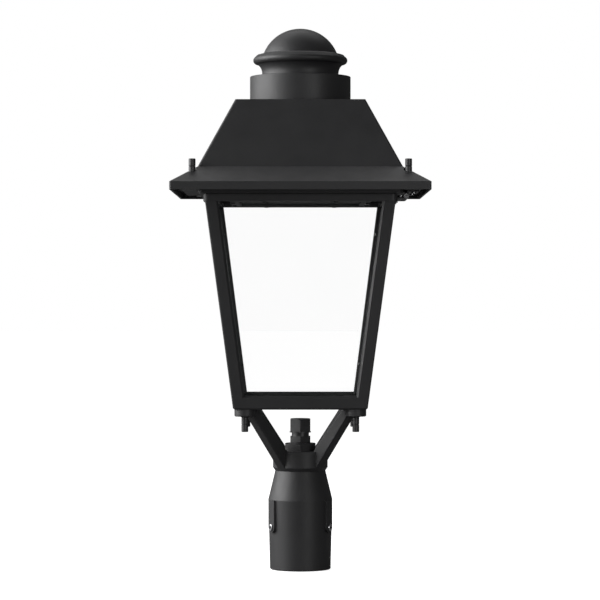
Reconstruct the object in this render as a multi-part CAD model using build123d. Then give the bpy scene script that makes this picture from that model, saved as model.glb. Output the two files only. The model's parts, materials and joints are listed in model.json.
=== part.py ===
"""Post top lantern: sleeve, four-armed bracket, tapered frame with clear panes, hinged roof.

Millimetres. +Z up, -Y is the front, the origin is the centre of the sleeve's mouth.
"""
import os
from math import acos, cos, hypot, radians, sin, sqrt, tan

from build123d import *

# ---------------------------------------------------------------- driving sizes
# Post sleeve
SLEEVE_MOUTH_R = 45.5
SLEEVE_SHOULDER_R = 48.0
SLEEVE_TOP_R = 37.6
SLEEVE_SHOULDER_Z = 104.4
SLEEVE_CONE_HEIGHT = 43.1
SLEEVE_EDGE = 1.2
POST_BORE_R = 39.0
POST_BORE_DEPTH = 100.0
NUT_CHAMBER_R = 30.0
SLEEVE_ROOF_THICKNESS = 12.5

# Screw bosses and set screws
SET_SCREW_Z = 64.0
SET_SCREW_R = 5.0
SET_SCREW_LENGTH = 12.0
SET_SCREW_PROUD = 2.2
SET_SCREW_SOCKET_AF = 5.0
SET_SCREW_SOCKET_DEPTH = 5.0
SET_SCREW_POINT = 1.4
BOSS_FACE_R = 50.3
BOSS_WIDTH = 16.5

# Hub and arms
HUB_R = 41.0
HUB_HEIGHT = 29.5
HUB_CHAMFER_HEIGHT = 5.0
ARM_WIDTH = 16.0
ARM_EDGE = 1.5
ARM_FOOT_RISE = 2.9
ARM_TOP_SETBACK = 6.9
ARM_TOP_SHORT = 19.2
PAD_INSET = 17.0
PAD_R = 15.35
PAD_THICKNESS = 10.4
PAD_EDGE = 1.2
PAD_RISE = 65.3
ARM_INTO_PAD = 10.4

# Nipple, nuts and gland
NIPPLE_R = 16.0
NIPPLE_BORE_R = 10.0
NIPPLE_PAST_NUT = 2.0
HUB_NUT_AF = 45.5
HUB_NUT_HEIGHT = 11.6
HUB_NUT_EDGE = 2.0
LOCKNUT_AF = 41.0
LOCKNUT_HEIGHT = 8.0
LOCK_WASHER_R = 26.0
LOCK_WASHER_THICKNESS = 1.6
GLAND_AF = 30.0
GLAND_BODY_HEIGHT = 9.0
GLAND_THREAD_R = 12.45
GLAND_THREAD_LENGTH = 13.0
GLAND_NECK_R = 12.9
GLAND_NECK_SHOWN = 5.5
GLAND_NECK_HIDDEN = 11.0
GLAND_BORE_R = 8.8
GLAND_RING_R = 16.3
GLAND_RING_HEIGHT = 1.2
DOME_NUT_HEIGHT = 21.0
DOME_NUT_ROUND = 4.5
DOME_NUT_LIP = 3.0
SEAL_WALL = 3.0
CABLE_R = 8.0
GLAND_WASHER_R = 14.6
GLAND_WASHER_THICKNESS = 1.4

# Studs, washers and the stacked round nuts
STUD_R = 3.0
ROUND_NUT_R = 5.0
ROUND_NUT_LENGTH = 10.9
ROUND_NUT_EDGE = 0.6
STUD_IN_FRAME = 12.0
STUD_IN_CAP_NUT = 5.0
STUD_HEAD_R = 5.5
STUD_HEAD_HEIGHT = 2.0
PAD_WASHER_R = 6.0
PAD_WASHER_THICKNESS = 1.0

# Lantern frame
FRAME_FOOT_HALF = 98.5
FRAME_HEIGHT = 304.2
FRAME_LEAN = 7.44
FRAME_WALL = 8.0
FRAME_EDGE_R = 2.5
FRAME_FOOT_EDGE = 2.2
POST_FACE = 19.2
FOOT_RAIL_HEIGHT = 19.9
FOOT_PLATE_THICKNESS = 8.0
FOOT_PLATE_WIDTH = 24.5
FOOT_BOSS_HEIGHT = 14.0
WINDOW_BEVEL = 3.2
FLANGE_PROUD = 2.5
FLANGE_WIDTH = 20.7
FLANGE_THICKNESS = 9.8
FLANGE_CORNER_R = 8.0

# Panes and what holds them
GASKET_THICKNESS = 1.5
GLASS_THICKNESS = 4.0
GLASS_EDGE_IN = 16.3
GLASS_FOOT_DROP = 5.0
GLASS_TOP_GAP = 0.5
GASKET_WINDOW_GAP = 0.5
BAR_THICKNESS = 1.5
BAR_LEG = 5.5
BAR_END_GAP = 3.0
BAR_SCREW_R = 1.5
BAR_SCREW_DEPTH = 6.0
BAR_SCREW_HEAD_R = 2.2
BAR_SCREW_HEAD_HEIGHT = 1.2
BAR_SCREW_SPOTS = (0.15, 0.85)

# Roof tray
TRAY_GAP = 1.4
TRAY_RIM_PAST_FRAME = 8.0
TRAY_CORNER_R = 8.0
TRAY_SHEET = 3.0
TRAY_WALL = 4.0
TRAY_DEPTH = 11.3
TRAY_BEHIND_EAVE = 11.7
ROOF_GASKET_OUTER_MARGIN = 1.7
ROOF_GASKET_INNER_MARGIN = 5.0
ROOF_GASKET_THICKNESS = 1.1

# Roof shell
EAVE_OVERHANG = 47.0
EAVE_ABOVE_TRAY = 3.5
EAVE_BAND_HEIGHT = 11.6
FLARE_WIDTH = 39.4
FLARE_HEIGHT = 23.2
PYRAMID_WIDTH = 53.0
PYRAMID_HEIGHT = 101.0
ROOF_WALL = 3.0
ROOF_CORNER_R = 3.0
ROOF_BOSS_INSET = 31.7
ROOF_BOSS_R = 9.5
POCKET_R = 7.0
POCKET_DROP = 11.0

# Chimney
COLLAR_R = 75.4
COLLAR_HEIGHT = 40.4
COLLAR_WALL = 3.0
COLLAR_EDGE = 1.0
CAP_NECK_R = 57.3
CAP_NECK_HEIGHT = 4.8
CAP_NECK_WALL = 4.0
CAP_FLARE_R = 63.0
CAP_FLARE_HEIGHT = 13.0
RIM_R = 70.6
RIM_HEIGHT = 16.5
RIM_NOSE_R = 5.8
RIM_NOSE_RISE = 0.8
RIM_NOSE_END = 35.0
RIM_SHOULDER = 2.0
DOME_R = 59.4
DOME_CENTRE_RISE = 12.7
DOME_WALL = 3.0
DOME_SPIGOT_WALL = 2.5
DOME_SPIGOT_LENGTH = 3.4
DOME_SEAT_THICKNESS = 2.0
CAP_BOSS_R = 8.0
CAP_BOSS_HEIGHT = 18.0
CAP_STUD_R = 4.0
CAP_STUD_IN_BOSS = 14.0
CAP_STUD_END = 2.0
CAP_WASHER_R = 10.0
CAP_WASHER_THICKNESS = 1.6
CAP_NUT_AF = 13.0
CAP_NUT_HEIGHT = 6.5

# Light source
LIGHT_INSIDE_FLANGE = 32.0
SINK_OVERLAP = 8.0
SINK_BASE = 6.0
FIN_HEIGHT = 20.0
FIN_THICKNESS = 2.5
FIN_COUNT = 13
FIN_SETBACK = 6.0
BOARD_MARGIN = 4.0
BOARD_THICKNESS = 1.6
LENS_PLATE_MARGIN = 4.0
LENS_PLATE_THICKNESS = 2.0
LENS_R = 9.0
LENS_DEPTH = 3.5
LENS_EDGE = 23.0
LENS_ROWS = 4
COVER_OVERLAP = 8.0
COVER_THICKNESS = 4.0
COVER_SEAL_WIDTH = 6.0
COVER_SEAL_HEIGHT = 4.8
BEZEL_WIDTH = 8.0
BEZEL_LIP = 2.0
BEZEL_LIP_WIDTH = 6.0
BEZEL_CORNER_R = 4.0
COVER_SIDE_GAP = 0.5
GEAR_SCREW_R = 2.0
GEAR_SCREW_HEAD_R = 3.5
GEAR_SCREW_HEAD_HEIGHT = 2.2

# Control gear
GEAR_BESIDE_SINK = 7.0
DRIVER_LENGTH = 200.0
DRIVER_WIDTH = 36.0
DRIVER_HEIGHT = 28.0
DRIVER_EAR = 12.0
DRIVER_EAR_THICKNESS = 3.0
DRIVER_EDGE = 2.0
SURGE_LENGTH = 70.0
SURGE_WIDTH = 34.0
SURGE_HEIGHT = 26.0
TERMINAL_LENGTH = 60.0
TERMINAL_WIDTH = 22.0
TERMINAL_HEIGHT = 22.0
TERMINAL_WAYS = 5
TERMINAL_HOLE_R = 2.6
TERMINAL_HOLE_DEPTH = 8.0
GEAR_SPACING = 8.0
GROMMET_BESIDE_BEZEL = 1.0
GROMMET_R = 7.0
GROMMET_HOLE_R = 5.5
GROMMET_BORE_R = 3.5
GROMMET_LIP = 1.5

# Hinge under the right eave
HINGE_PAST_FRAME = 16.3
HINGE_RISE = 0.7
KNUCKLE_R = 4.4
HINGE_PIN_R = 2.5
HINGE_LENGTH = 90.0
ROOF_KNUCKLE_LENGTH = 48.0
KNUCKLE_GAP = 0.4
HINGE_SHEET = 2.5
FRAME_LEAF_HEIGHT = 9.0
PIN_HEAD_R = 3.8
PIN_HEAD_THICKNESS = 1.8
FRAME_LEAF_SCREW_R = 1.5
FRAME_LEAF_SCREW_HEAD_R = 2.3
FRAME_LEAF_SCREW_HEAD_HEIGHT = 1.8
FRAME_LEAF_SCREW_DEPTH = 10.0
FRAME_LEAF_SCREW_Y = 30.0
ROOF_LEAF_SCREW_Y = 34.0

# Spring catches opposite the hinge
CATCH_WIDTH = 16.0
CATCH_SHEET = 0.8
CATCH_BESIDE_BEZEL = 2.0
CATCH_DROP = 10.5
CATCH_GAP = 0.3
CATCH_BOW = 1.7
RIVET_R = 1.6
RIVET_HEAD_R = 3.0
RIVET_HEAD_HEIGHT = 1.0

# Clearances
RUNNING = 0.05
LOOSE = 0.3
EPS = 1.0  # how far a cut runs past the face that it opens

# ---------------------------------------------------------------- levels and places
SLEEVE_TOP_Z = SLEEVE_SHOULDER_Z + SLEEVE_CONE_HEIGHT
NUT_CHAMBER_TOP_Z = SLEEVE_TOP_Z - SLEEVE_ROOF_THICKNESS
HUB_TOP_Z = SLEEVE_TOP_Z + HUB_HEIGHT
FRAME_FOOT_Z = HUB_TOP_Z + PAD_RISE
PAD_FOOT_Z = FRAME_FOOT_Z - PAD_THICKNESS
FLANGE_FOOT_Z = FRAME_FOOT_Z + FRAME_HEIGHT
FLANGE_TOP_Z = FLANGE_FOOT_Z + FLANGE_THICKNESS
TRAY_FOOT_Z = FLANGE_TOP_Z + TRAY_GAP
TRAY_FLOOR_Z = TRAY_FOOT_Z + TRAY_SHEET
TRAY_TOP_Z = TRAY_FOOT_Z + TRAY_DEPTH
TRAY_FLANGE_FOOT_Z = TRAY_TOP_Z - TRAY_SHEET
EAVE_Z = TRAY_FOOT_Z + EAVE_ABOVE_TRAY
BAND_TOP_Z = EAVE_Z + EAVE_BAND_HEIGHT
FLARE_TOP_Z = BAND_TOP_Z + FLARE_HEIGHT
ROOF_TOP_Z = FLARE_TOP_Z + PYRAMID_HEIGHT
COLLAR_TOP_Z = ROOF_TOP_Z + COLLAR_HEIGHT
DOME_CENTRE_Z = COLLAR_TOP_Z + DOME_CENTRE_RISE
POCKET_Z = FLARE_TOP_Z - POCKET_DROP
HUB_NUT_TOP_Z = HUB_TOP_Z + HUB_NUT_HEIGHT
GLAND_Z = HUB_NUT_TOP_Z + GLAND_WASHER_THICKNESS
GLAND_SHOULDER_Z = GLAND_Z + GLAND_BODY_HEIGHT
DOME_NUT_Z = GLAND_SHOULDER_Z + GLAND_NECK_SHOWN
DOME_NUT_TOP_Z = DOME_NUT_Z + DOME_NUT_HEIGHT
GLAND_NECK_TOP_Z = DOME_NUT_Z + GLAND_NECK_HIDDEN
HINGE_Z = FLANGE_TOP_Z + HINGE_RISE
BOARD_Z = TRAY_FLOOR_Z - BOARD_THICKNESS
LENS_PLATE_Z = BOARD_Z - LENS_PLATE_THICKNESS
COVER_TOP_Z = TRAY_FOOT_Z - COVER_SEAL_HEIGHT
COVER_Z = COVER_TOP_Z - COVER_THICKNESS
BEZEL_Z = COVER_Z - BEZEL_LIP

FRAME_SLOPE = tan(radians(FRAME_LEAN))
PAD_OFFSET = FRAME_FOOT_HALF - PAD_INSET
FOOT_OPENING_HALF = FRAME_FOOT_HALF - FOOT_PLATE_WIDTH
FLANGE_HALF = FRAME_FOOT_HALF + FRAME_SLOPE * FRAME_HEIGHT + FLANGE_PROUD
FLANGE_OPENING_HALF = FLANGE_HALF - FLANGE_WIDTH
TRAY_RIM_HALF = FLANGE_HALF + TRAY_RIM_PAST_FRAME
HINGE_X = FLANGE_HALF + HINGE_PAST_FRAME
EAVE_HALF = FLANGE_HALF + EAVE_OVERHANG
TRAY_FLANGE_HALF = EAVE_HALF - TRAY_BEHIND_EAVE
ROOF_BOSS_OFFSET = EAVE_HALF - ROOF_BOSS_INSET
FLARE_TOP_HALF = EAVE_HALF - FLARE_WIDTH
ROOF_TOP_HALF = FLARE_TOP_HALF - PYRAMID_WIDTH
LIGHT_OPENING_HALF = FLANGE_OPENING_HALF - LIGHT_INSIDE_FLANGE
SINK_HALF = LIGHT_OPENING_HALF + SINK_OVERLAP
BOARD_HALF = LIGHT_OPENING_HALF - BOARD_MARGIN
LENS_PLATE_HALF = BOARD_HALF - LENS_PLATE_MARGIN
COVER_HALF = LIGHT_OPENING_HALF + COVER_OVERLAP
BEZEL_HALF = COVER_HALF + BEZEL_WIDTH
GEAR_LINE = SINK_HALF + GEAR_BESIDE_SINK + DRIVER_WIDTH / 2
GROMMET_LINE = BEZEL_HALF + GROMMET_BESIDE_BEZEL + GROMMET_R
CATCH_LEG_X = -FLANGE_OPENING_HALF + CATCH_GAP + CATCH_BOW
CATCH_FOOT = -CATCH_LEG_X - BEZEL_HALF - CATCH_BESIDE_BEZEL
SCREW_DIRECTIONS = {"left": 210.0, "right": 330.0, "rear": 90.0}
SIDES = {"front": 0, "right": 90, "rear": 180, "left": 270}
CORNERS = [(x, y) for x in (-1, 1) for y in (-1, 1)]
HEX_TURN = 30.0  # puts two corners of a hexagon on the Y axis


# ---------------------------------------------------------------- small helpers
def frame_half(z):
    """Half the frame's outer width at height z."""
    return FRAME_FOOT_HALF + FRAME_SLOPE * (z - FRAME_FOOT_Z)


def rod(radius, z_low, z_high, x=0.0, y=0.0):
    return Pos(x, y, z_low) * extrude(Circle(radius), z_high - z_low)


def ring(outer, inner, z_low, z_high, x=0.0, y=0.0):
    return Pos(x, y, z_low) * extrude(Circle(outer) - Circle(inner), z_high - z_low)


def block(x_low, x_high, y_low, y_high, z_low, z_high):
    size = (x_high - x_low, y_high - y_low, z_high - z_low)
    middle = Pos((x_low + x_high) / 2, (y_low + y_high) / 2, (z_low + z_high) / 2)
    return middle * Box(*size)


def plate(half, z_low, z_high, corner=0.0, hole=0.0):
    """A square plate with rounded corners and, where hole is given, a square opening."""
    outline = RectangleRounded(2 * half, 2 * half, corner) if corner else Rectangle(2 * half, 2 * half)
    if hole:
        outline = outline - Rectangle(2 * hole, 2 * hole)
    return Pos(0, 0, z_low) * extrude(outline, z_high - z_low)


def frustum(half_low, half_high, z_low, z_high, corner=0.0):
    """A square block whose width changes with height."""
    sections = []
    for half, z in ((half_low, z_low), (half_high, z_high)):
        outline = RectangleRounded(2 * half, 2 * half, corner) if corner else Rectangle(2 * half, 2 * half)
        sections.append(Pos(0, 0, z) * outline)
    return loft(sections, ruled=True)


def tapered(inset, z_low, z_high, corner=0.0):
    """The frame's tapered block, drawn in by inset on every side."""
    return frustum(frame_half(z_low) - inset, frame_half(z_high) - inset, z_low, z_high, corner)


def hexagon(across_flats, z_low, z_high, bore):
    outline = RegularPolygon(across_flats / 2, 6, major_radius=False, rotation=HEX_TURN)
    return Pos(0, 0, z_low) * extrude(outline - Circle(bore), z_high - z_low)


def lathe(points):
    """A turned solid from its half outline, as (radius, z) points."""
    outline = make_face(Polyline(*[(r, 0, z) for r, z in points], close=True))
    return revolve(outline, Axis.Z)


def along_x(radius, x_low, x_high, y, z):
    start = Plane(origin=(x_low, y, z), x_dir=(0, 1, 0), z_dir=(1, 0, 0))
    return start * extrude(Circle(radius), x_high - x_low)


def along_y(outer, y_low, y_high, x, z, inner=0.0):
    outline = Circle(outer) - Circle(inner) if inner else Circle(outer)
    start = Plane(origin=(x, y_low, z), x_dir=(1, 0, 0), z_dir=(0, 1, 0))
    return start * extrude(outline, y_high - y_low)


def radial(radius, r_low, r_high, angle, z):
    """A rod that points away from the Z axis at an angle."""
    out = (cos(radians(angle)), sin(radians(angle)), 0)
    start = Plane(origin=(r_low * out[0], r_low * out[1], z), x_dir=(-out[1], out[0], 0), z_dir=out)
    return start * extrude(Circle(radius), r_high - r_low)


def spread_evenly(count, half):
    """Places from -half to half at equal steps."""
    return [half * (2 * index / (count - 1) - 1) for index in range(count)]


# ---------------------------------------------------------------- sleeve and set screws
def post_sleeve():
    body = lathe([
        (POST_BORE_R, 0), (SLEEVE_MOUTH_R - SLEEVE_EDGE, 0), (SLEEVE_MOUTH_R, SLEEVE_EDGE),
        (SLEEVE_SHOULDER_R, SLEEVE_SHOULDER_Z), (SLEEVE_TOP_R, SLEEVE_TOP_Z),
        (NIPPLE_R + LOOSE, SLEEVE_TOP_Z), (NIPPLE_R + LOOSE, NUT_CHAMBER_TOP_Z),
        (NUT_CHAMBER_R, NUT_CHAMBER_TOP_Z), (NUT_CHAMBER_R, POST_BORE_DEPTH), (POST_BORE_R, POST_BORE_DEPTH),
    ])
    root_r = (POST_BORE_R + SLEEVE_MOUTH_R) / 2
    boss_height = SLEEVE_SHOULDER_Z - SET_SCREW_Z
    outline = Circle(BOSS_WIDTH / 2) + Pos(0, boss_height / 2) * Rectangle(BOSS_WIDTH, boss_height)
    for angle in SCREW_DIRECTIONS.values():
        out = (cos(radians(angle)), sin(radians(angle)), 0)
        start = Plane(origin=(root_r * out[0], root_r * out[1], SET_SCREW_Z),
                      x_dir=(-out[1], out[0], 0), z_dir=out)
        body += start * extrude(outline, BOSS_FACE_R - root_r)
    for angle in SCREW_DIRECTIONS.values():
        body -= radial(SET_SCREW_R + RUNNING, POST_BORE_R - SET_SCREW_R, BOSS_FACE_R + EPS, angle,
                       SET_SCREW_Z)
    return body


def set_screw(angle):
    outer_r = BOSS_FACE_R + SET_SCREW_PROUD
    inner_r = outer_r - SET_SCREW_LENGTH
    screw = lathe([
        (0, 0), (SET_SCREW_R - SET_SCREW_POINT, 0), (SET_SCREW_R, SET_SCREW_POINT),
        (SET_SCREW_R, SET_SCREW_LENGTH - ROUND_NUT_EDGE),
        (SET_SCREW_R - ROUND_NUT_EDGE, SET_SCREW_LENGTH), (0, SET_SCREW_LENGTH),
    ])
    socket = RegularPolygon(SET_SCREW_SOCKET_AF / 2, 6, major_radius=False)
    socket = extrude(socket, SET_SCREW_SOCKET_DEPTH + EPS)
    screw -= Pos(0, 0, SET_SCREW_LENGTH - SET_SCREW_SOCKET_DEPTH) * socket
    out = (cos(radians(angle)), sin(radians(angle)), 0)
    return Plane(origin=(inner_r * out[0], inner_r * out[1], SET_SCREW_Z),
                 x_dir=(-out[1], out[0], 0), z_dir=out) * screw


# ---------------------------------------------------------------- bracket, nuts and gland
def arm_spider():
    hub = lathe([
        (NIPPLE_R + LOOSE, SLEEVE_TOP_Z), (SLEEVE_TOP_R, SLEEVE_TOP_Z),
        (HUB_R, SLEEVE_TOP_Z + HUB_CHAMFER_HEIGHT), (HUB_R, HUB_TOP_Z), (NIPPLE_R + LOOSE, HUB_TOP_Z),
    ])
    pad_s = PAD_OFFSET * sqrt(2)
    root_s = (NIPPLE_R + HUB_R) / 2
    low_root = SLEEVE_TOP_R + ARM_EDGE
    low_root_z = SLEEVE_TOP_Z + ARM_FOOT_RISE
    side = Polyline(
        (root_s, 0, low_root_z + HUB_CHAMFER_HEIGHT), (low_root, 0, low_root_z),
        (pad_s - ARM_INTO_PAD, 0, PAD_FOOT_Z), (pad_s, 0, PAD_FOOT_Z), (pad_s, 0, FRAME_FOOT_Z),
        (pad_s - ARM_TOP_SHORT, 0, FRAME_FOOT_Z), (HUB_R - ARM_TOP_SETBACK, 0, HUB_TOP_Z),
        (root_s, 0, HUB_TOP_Z), close=True)
    arm = extrude(make_face(side), ARM_WIDTH / 2, both=True)
    arm = fillet(arm.edges().filter_by(lambda e: abs(e.tangent_at(0.5).Y) < 0.01
                                       and abs(e.tangent_at(0.5).Z) > 0.5
                                       and e.length > PAD_RISE / 2), ARM_EDGE)
    pad = rod(PAD_R, PAD_FOOT_Z, FRAME_FOOT_Z, pad_s, 0)
    pad = chamfer(pad.edges().group_by(Axis.Z)[0], PAD_EDGE)
    spider = hub
    for quarter in range(4):
        turn = Rot(0, 0, 45 + 90 * quarter)
        spider += turn * (arm + pad)
    for x, y in CORNERS:
        spider -= rod(STUD_R + LOOSE, PAD_FOOT_Z - EPS, FRAME_FOOT_Z + EPS, x * PAD_OFFSET, y * PAD_OFFSET)
    return spider


def hollow_nipple():
    foot = NUT_CHAMBER_TOP_Z - LOCK_WASHER_THICKNESS - LOCKNUT_HEIGHT - NIPPLE_PAST_NUT
    tube = ring(NIPPLE_R, NIPPLE_BORE_R, foot, HUB_NUT_TOP_Z)
    return tube - rod(GLAND_THREAD_R + RUNNING, GLAND_Z - GLAND_THREAD_LENGTH - EPS, HUB_NUT_TOP_Z + EPS)


def lower_washer():
    return ring(LOCK_WASHER_R, NIPPLE_R + LOOSE, NUT_CHAMBER_TOP_Z - LOCK_WASHER_THICKNESS, NUT_CHAMBER_TOP_Z)


def lower_locknut():
    top = NUT_CHAMBER_TOP_Z - LOCK_WASHER_THICKNESS
    return hexagon(LOCKNUT_AF, top - LOCKNUT_HEIGHT, top, NIPPLE_R + RUNNING)


def chamfered_hexagon(across_flats, z_low, z_high, bore, edge):
    """A hexagon nut whose upper corners are turned down to a cone."""
    corner_r = across_flats / sqrt(3)
    cone = lathe([
        (0, z_low), (corner_r + EPS, z_low), (corner_r + EPS, z_high - edge),
        (corner_r, z_high - edge), (across_flats / 2 - edge / 4, z_high), (0, z_high),
    ])
    return hexagon(across_flats, z_low, z_high, bore) & cone


def hub_nut():
    return chamfered_hexagon(HUB_NUT_AF, HUB_TOP_Z, HUB_NUT_TOP_Z, NIPPLE_R + RUNNING, HUB_NUT_EDGE)


def gland_o_ring():
    return ring(GLAND_WASHER_R, GLAND_THREAD_R + RUNNING, HUB_NUT_TOP_Z, GLAND_Z)


def gland_body():
    body = hexagon(GLAND_AF, GLAND_Z, GLAND_SHOULDER_Z, GLAND_BORE_R)
    body += ring(GLAND_THREAD_R, GLAND_BORE_R, GLAND_Z - GLAND_THREAD_LENGTH, GLAND_Z)
    neck = ring(GLAND_NECK_R, GLAND_BORE_R, GLAND_SHOULDER_Z, GLAND_NECK_TOP_Z)
    seat = rod(CABLE_R + SEAL_WALL + RUNNING, DOME_NUT_Z, GLAND_NECK_TOP_Z + EPS)
    return body + (neck - seat)


def gland_seal():
    return ring(CABLE_R + SEAL_WALL, CABLE_R, DOME_NUT_Z, DOME_NUT_TOP_Z - DOME_NUT_LIP - LOOSE)


def gland_dome_nut():
    corner_r = GLAND_AF / sqrt(3)
    shoulder = corner_r - DOME_NUT_ROUND
    round_z = DOME_NUT_TOP_Z - DOME_NUT_ROUND
    bulge = DOME_NUT_ROUND * sqrt(0.5)
    outline = make_face(
        Polyline((shoulder, 0, DOME_NUT_TOP_Z), (0, 0, DOME_NUT_TOP_Z), (0, 0, DOME_NUT_Z),
                 (corner_r, 0, DOME_NUT_Z), (corner_r, 0, round_z))
        + ThreePointArc((corner_r, 0, round_z), (shoulder + bulge, 0, round_z + bulge),
                        (shoulder, 0, DOME_NUT_TOP_Z)))
    nut = hexagon(GLAND_AF, DOME_NUT_Z, DOME_NUT_TOP_Z, CABLE_R + EPS) & revolve(outline, Axis.Z)
    nut += ring(GLAND_RING_R, CABLE_R + EPS, DOME_NUT_Z, DOME_NUT_Z + GLAND_RING_HEIGHT)
    return nut - rod(GLAND_NECK_R + RUNNING, DOME_NUT_Z - EPS, DOME_NUT_TOP_Z - DOME_NUT_LIP)


# ---------------------------------------------------------------- studs and round nuts
def round_nut(x, y, seat, up, closed):
    """A round nut on a stud: its edges are broken, and a closed one caps the stud's end."""
    edge = ROUND_NUT_EDGE
    length = ROUND_NUT_LENGTH
    hole = STUD_R + RUNNING
    points = [(hole, 0), (ROUND_NUT_R - edge, 0), (ROUND_NUT_R, edge),
              (ROUND_NUT_R, length - edge), (ROUND_NUT_R - edge, length)]
    if closed:
        depth = STUD_IN_CAP_NUT + RUNNING
        points += [(0, length), (0, depth), (hole, depth)]
    else:
        points += [(hole, length)]
    nut = lathe(points)
    return Pos(x, y, seat) * (nut if up else Rot(180, 0, 0) * nut)


def corner_stack(offset, seat, up):
    """The four inner nuts and the four end nuts of one set of corner studs."""
    second = seat + ROUND_NUT_LENGTH if up else seat - ROUND_NUT_LENGTH
    inner = [round_nut(x * offset, y * offset, seat, up, False) for x, y in CORNERS]
    ends = [round_nut(x * offset, y * offset, second, up, True) for x, y in CORNERS]
    return inner, ends


ARM_NUT_SEAT_Z = PAD_FOOT_Z - PAD_WASHER_THICKNESS


def arm_studs():
    low = ARM_NUT_SEAT_Z - ROUND_NUT_LENGTH - STUD_IN_CAP_NUT
    high = FRAME_FOOT_Z + STUD_IN_FRAME
    return [rod(STUD_R, low, high, x * PAD_OFFSET, y * PAD_OFFSET) for x, y in CORNERS]


def arm_washers():
    return [ring(PAD_WASHER_R, STUD_R + RUNNING, ARM_NUT_SEAT_Z, PAD_FOOT_Z, x * PAD_OFFSET, y * PAD_OFFSET)
            for x, y in CORNERS]


def roof_studs():
    studs = []
    for x, y in CORNERS:
        place = (x * ROOF_BOSS_OFFSET, y * ROOF_BOSS_OFFSET)
        shank = rod(STUD_R, TRAY_FLANGE_FOOT_Z, POCKET_Z + ROUND_NUT_LENGTH + STUD_IN_CAP_NUT, *place)
        head = rod(STUD_HEAD_R, TRAY_FLANGE_FOOT_Z - STUD_HEAD_HEIGHT, TRAY_FLANGE_FOOT_Z, *place)
        studs.append(shank + head)
    return studs


# ---------------------------------------------------------------- lantern frame
def side_outline(z_low, z_high, inset):
    """The tapered outline of one side between two heights, drawn in from the frame's edges."""
    low, high = frame_half(z_low) - inset, frame_half(z_high) - inset
    return make_face(Polyline((-low, 0, z_low), (low, 0, z_low), (high, 0, z_high), (-high, 0, z_high),
                              close=True))


def side_cutter(z_low, z_high, inset):
    """The outline of one side pushed through the front wall, from the outside to the middle."""
    return extrude(side_outline(z_low, z_high, inset), FLANGE_HALF + EPS, dir=(0, -1, 0))


def window_cut():
    """The front window: a bevel that narrows to the opening, then straight through the wall."""
    sill_z = FRAME_FOOT_Z + FOOT_RAIL_HEIGHT
    opening = side_cutter(sill_z, FLANGE_FOOT_Z, POST_FACE)
    bevel = []
    for depth in (0.0, WINDOW_BEVEL):
        inset = POST_FACE - WINDOW_BEVEL + depth
        low_z = sill_z - WINDOW_BEVEL + depth
        corners = []
        for side, z in ((-1, low_z), (1, low_z), (1, FLANGE_FOOT_Z), (-1, FLANGE_FOOT_Z)):
            corners.append((side * (frame_half(z) - inset), depth - frame_half(z), z))
        bevel.append(make_face(Polyline(*corners, close=True)))
    return opening + loft(bevel, ruled=True)


def glazing_screws():
    """Screws through the corner bars into the posts, two at each corner."""
    low, high = FRAME_FOOT_Z + FOOT_RAIL_HEIGHT, FLANGE_FOOT_Z
    screws = []
    holes = []
    for share in BAR_SCREW_SPOTS:
        z = low + share * (high - low)
        bar_r = (frame_half(z) - FRAME_WALL - GASKET_THICKNESS - GLASS_THICKNESS - BAR_THICKNESS) * sqrt(2)
        post_r = (frame_half(z) - FRAME_WALL) * sqrt(2)
        head_r = bar_r - BAR_SCREW_HEAD_R - LOOSE
        for quarter in range(4):
            angle = 45 + 90 * quarter
            shank = radial(BAR_SCREW_R, head_r, post_r + BAR_SCREW_DEPTH, angle, z)
            head = radial(BAR_SCREW_HEAD_R, head_r - BAR_SCREW_HEAD_HEIGHT, head_r, angle, z)
            screws.append(shank + head)
            holes.append(radial(BAR_SCREW_R + RUNNING, head_r, post_r + BAR_SCREW_DEPTH + RUNNING, angle, z))
    return screws, holes


def lantern_frame(screw_holes):
    frame = tapered(0.0, FRAME_FOOT_Z, FLANGE_FOOT_Z, FRAME_EDGE_R)
    frame = chamfer(frame.edges().group_by(Axis.Z)[0], FRAME_FOOT_EDGE)
    frame -= tapered(FRAME_WALL, FRAME_FOOT_Z + FOOT_PLATE_THICKNESS, FLANGE_FOOT_Z + EPS)
    frame -= plate(FOOT_OPENING_HALF, FRAME_FOOT_Z - EPS, FRAME_FOOT_Z + FOOT_PLATE_THICKNESS + EPS)
    cut = window_cut()
    for turn in SIDES.values():
        frame -= Rot(0, 0, turn) * cut
    for x, y in CORNERS:
        frame += rod(PAD_R, FRAME_FOOT_Z, FRAME_FOOT_Z + FOOT_BOSS_HEIGHT, x * PAD_OFFSET, y * PAD_OFFSET)
    frame += plate(FLANGE_HALF, FLANGE_FOOT_Z, FLANGE_TOP_Z, FLANGE_CORNER_R, FLANGE_OPENING_HALF)
    for x, y in CORNERS:
        frame -= rod(STUD_R + RUNNING, FRAME_FOOT_Z - EPS, FRAME_FOOT_Z + STUD_IN_FRAME + RUNNING,
                     x * PAD_OFFSET, y * PAD_OFFSET)
    for hole in screw_holes:
        frame -= hole
    for y in (-FRAME_LEAF_SCREW_Y, FRAME_LEAF_SCREW_Y):
        frame -= along_x(FRAME_LEAF_SCREW_R + RUNNING, FLANGE_HALF - FRAME_LEAF_SCREW_DEPTH - RUNNING,
                         FLANGE_HALF + EPS, y, FRAME_LEAF_SCREW_Z)
    return frame


# ---------------------------------------------------------------- panes
GLASS_FOOT_Z = FRAME_FOOT_Z + FOOT_RAIL_HEIGHT - GLASS_FOOT_DROP
GLASS_TOP_Z = FLANGE_FOOT_Z - GLASS_TOP_GAP


def wall_layer(inset, thickness):
    """The tapered square tube that lies a given way inside the frame's outer faces."""
    low, high = GLASS_FOOT_Z, GLASS_TOP_Z
    return tapered(inset, low, high) - tapered(inset + thickness, low, high)


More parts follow.
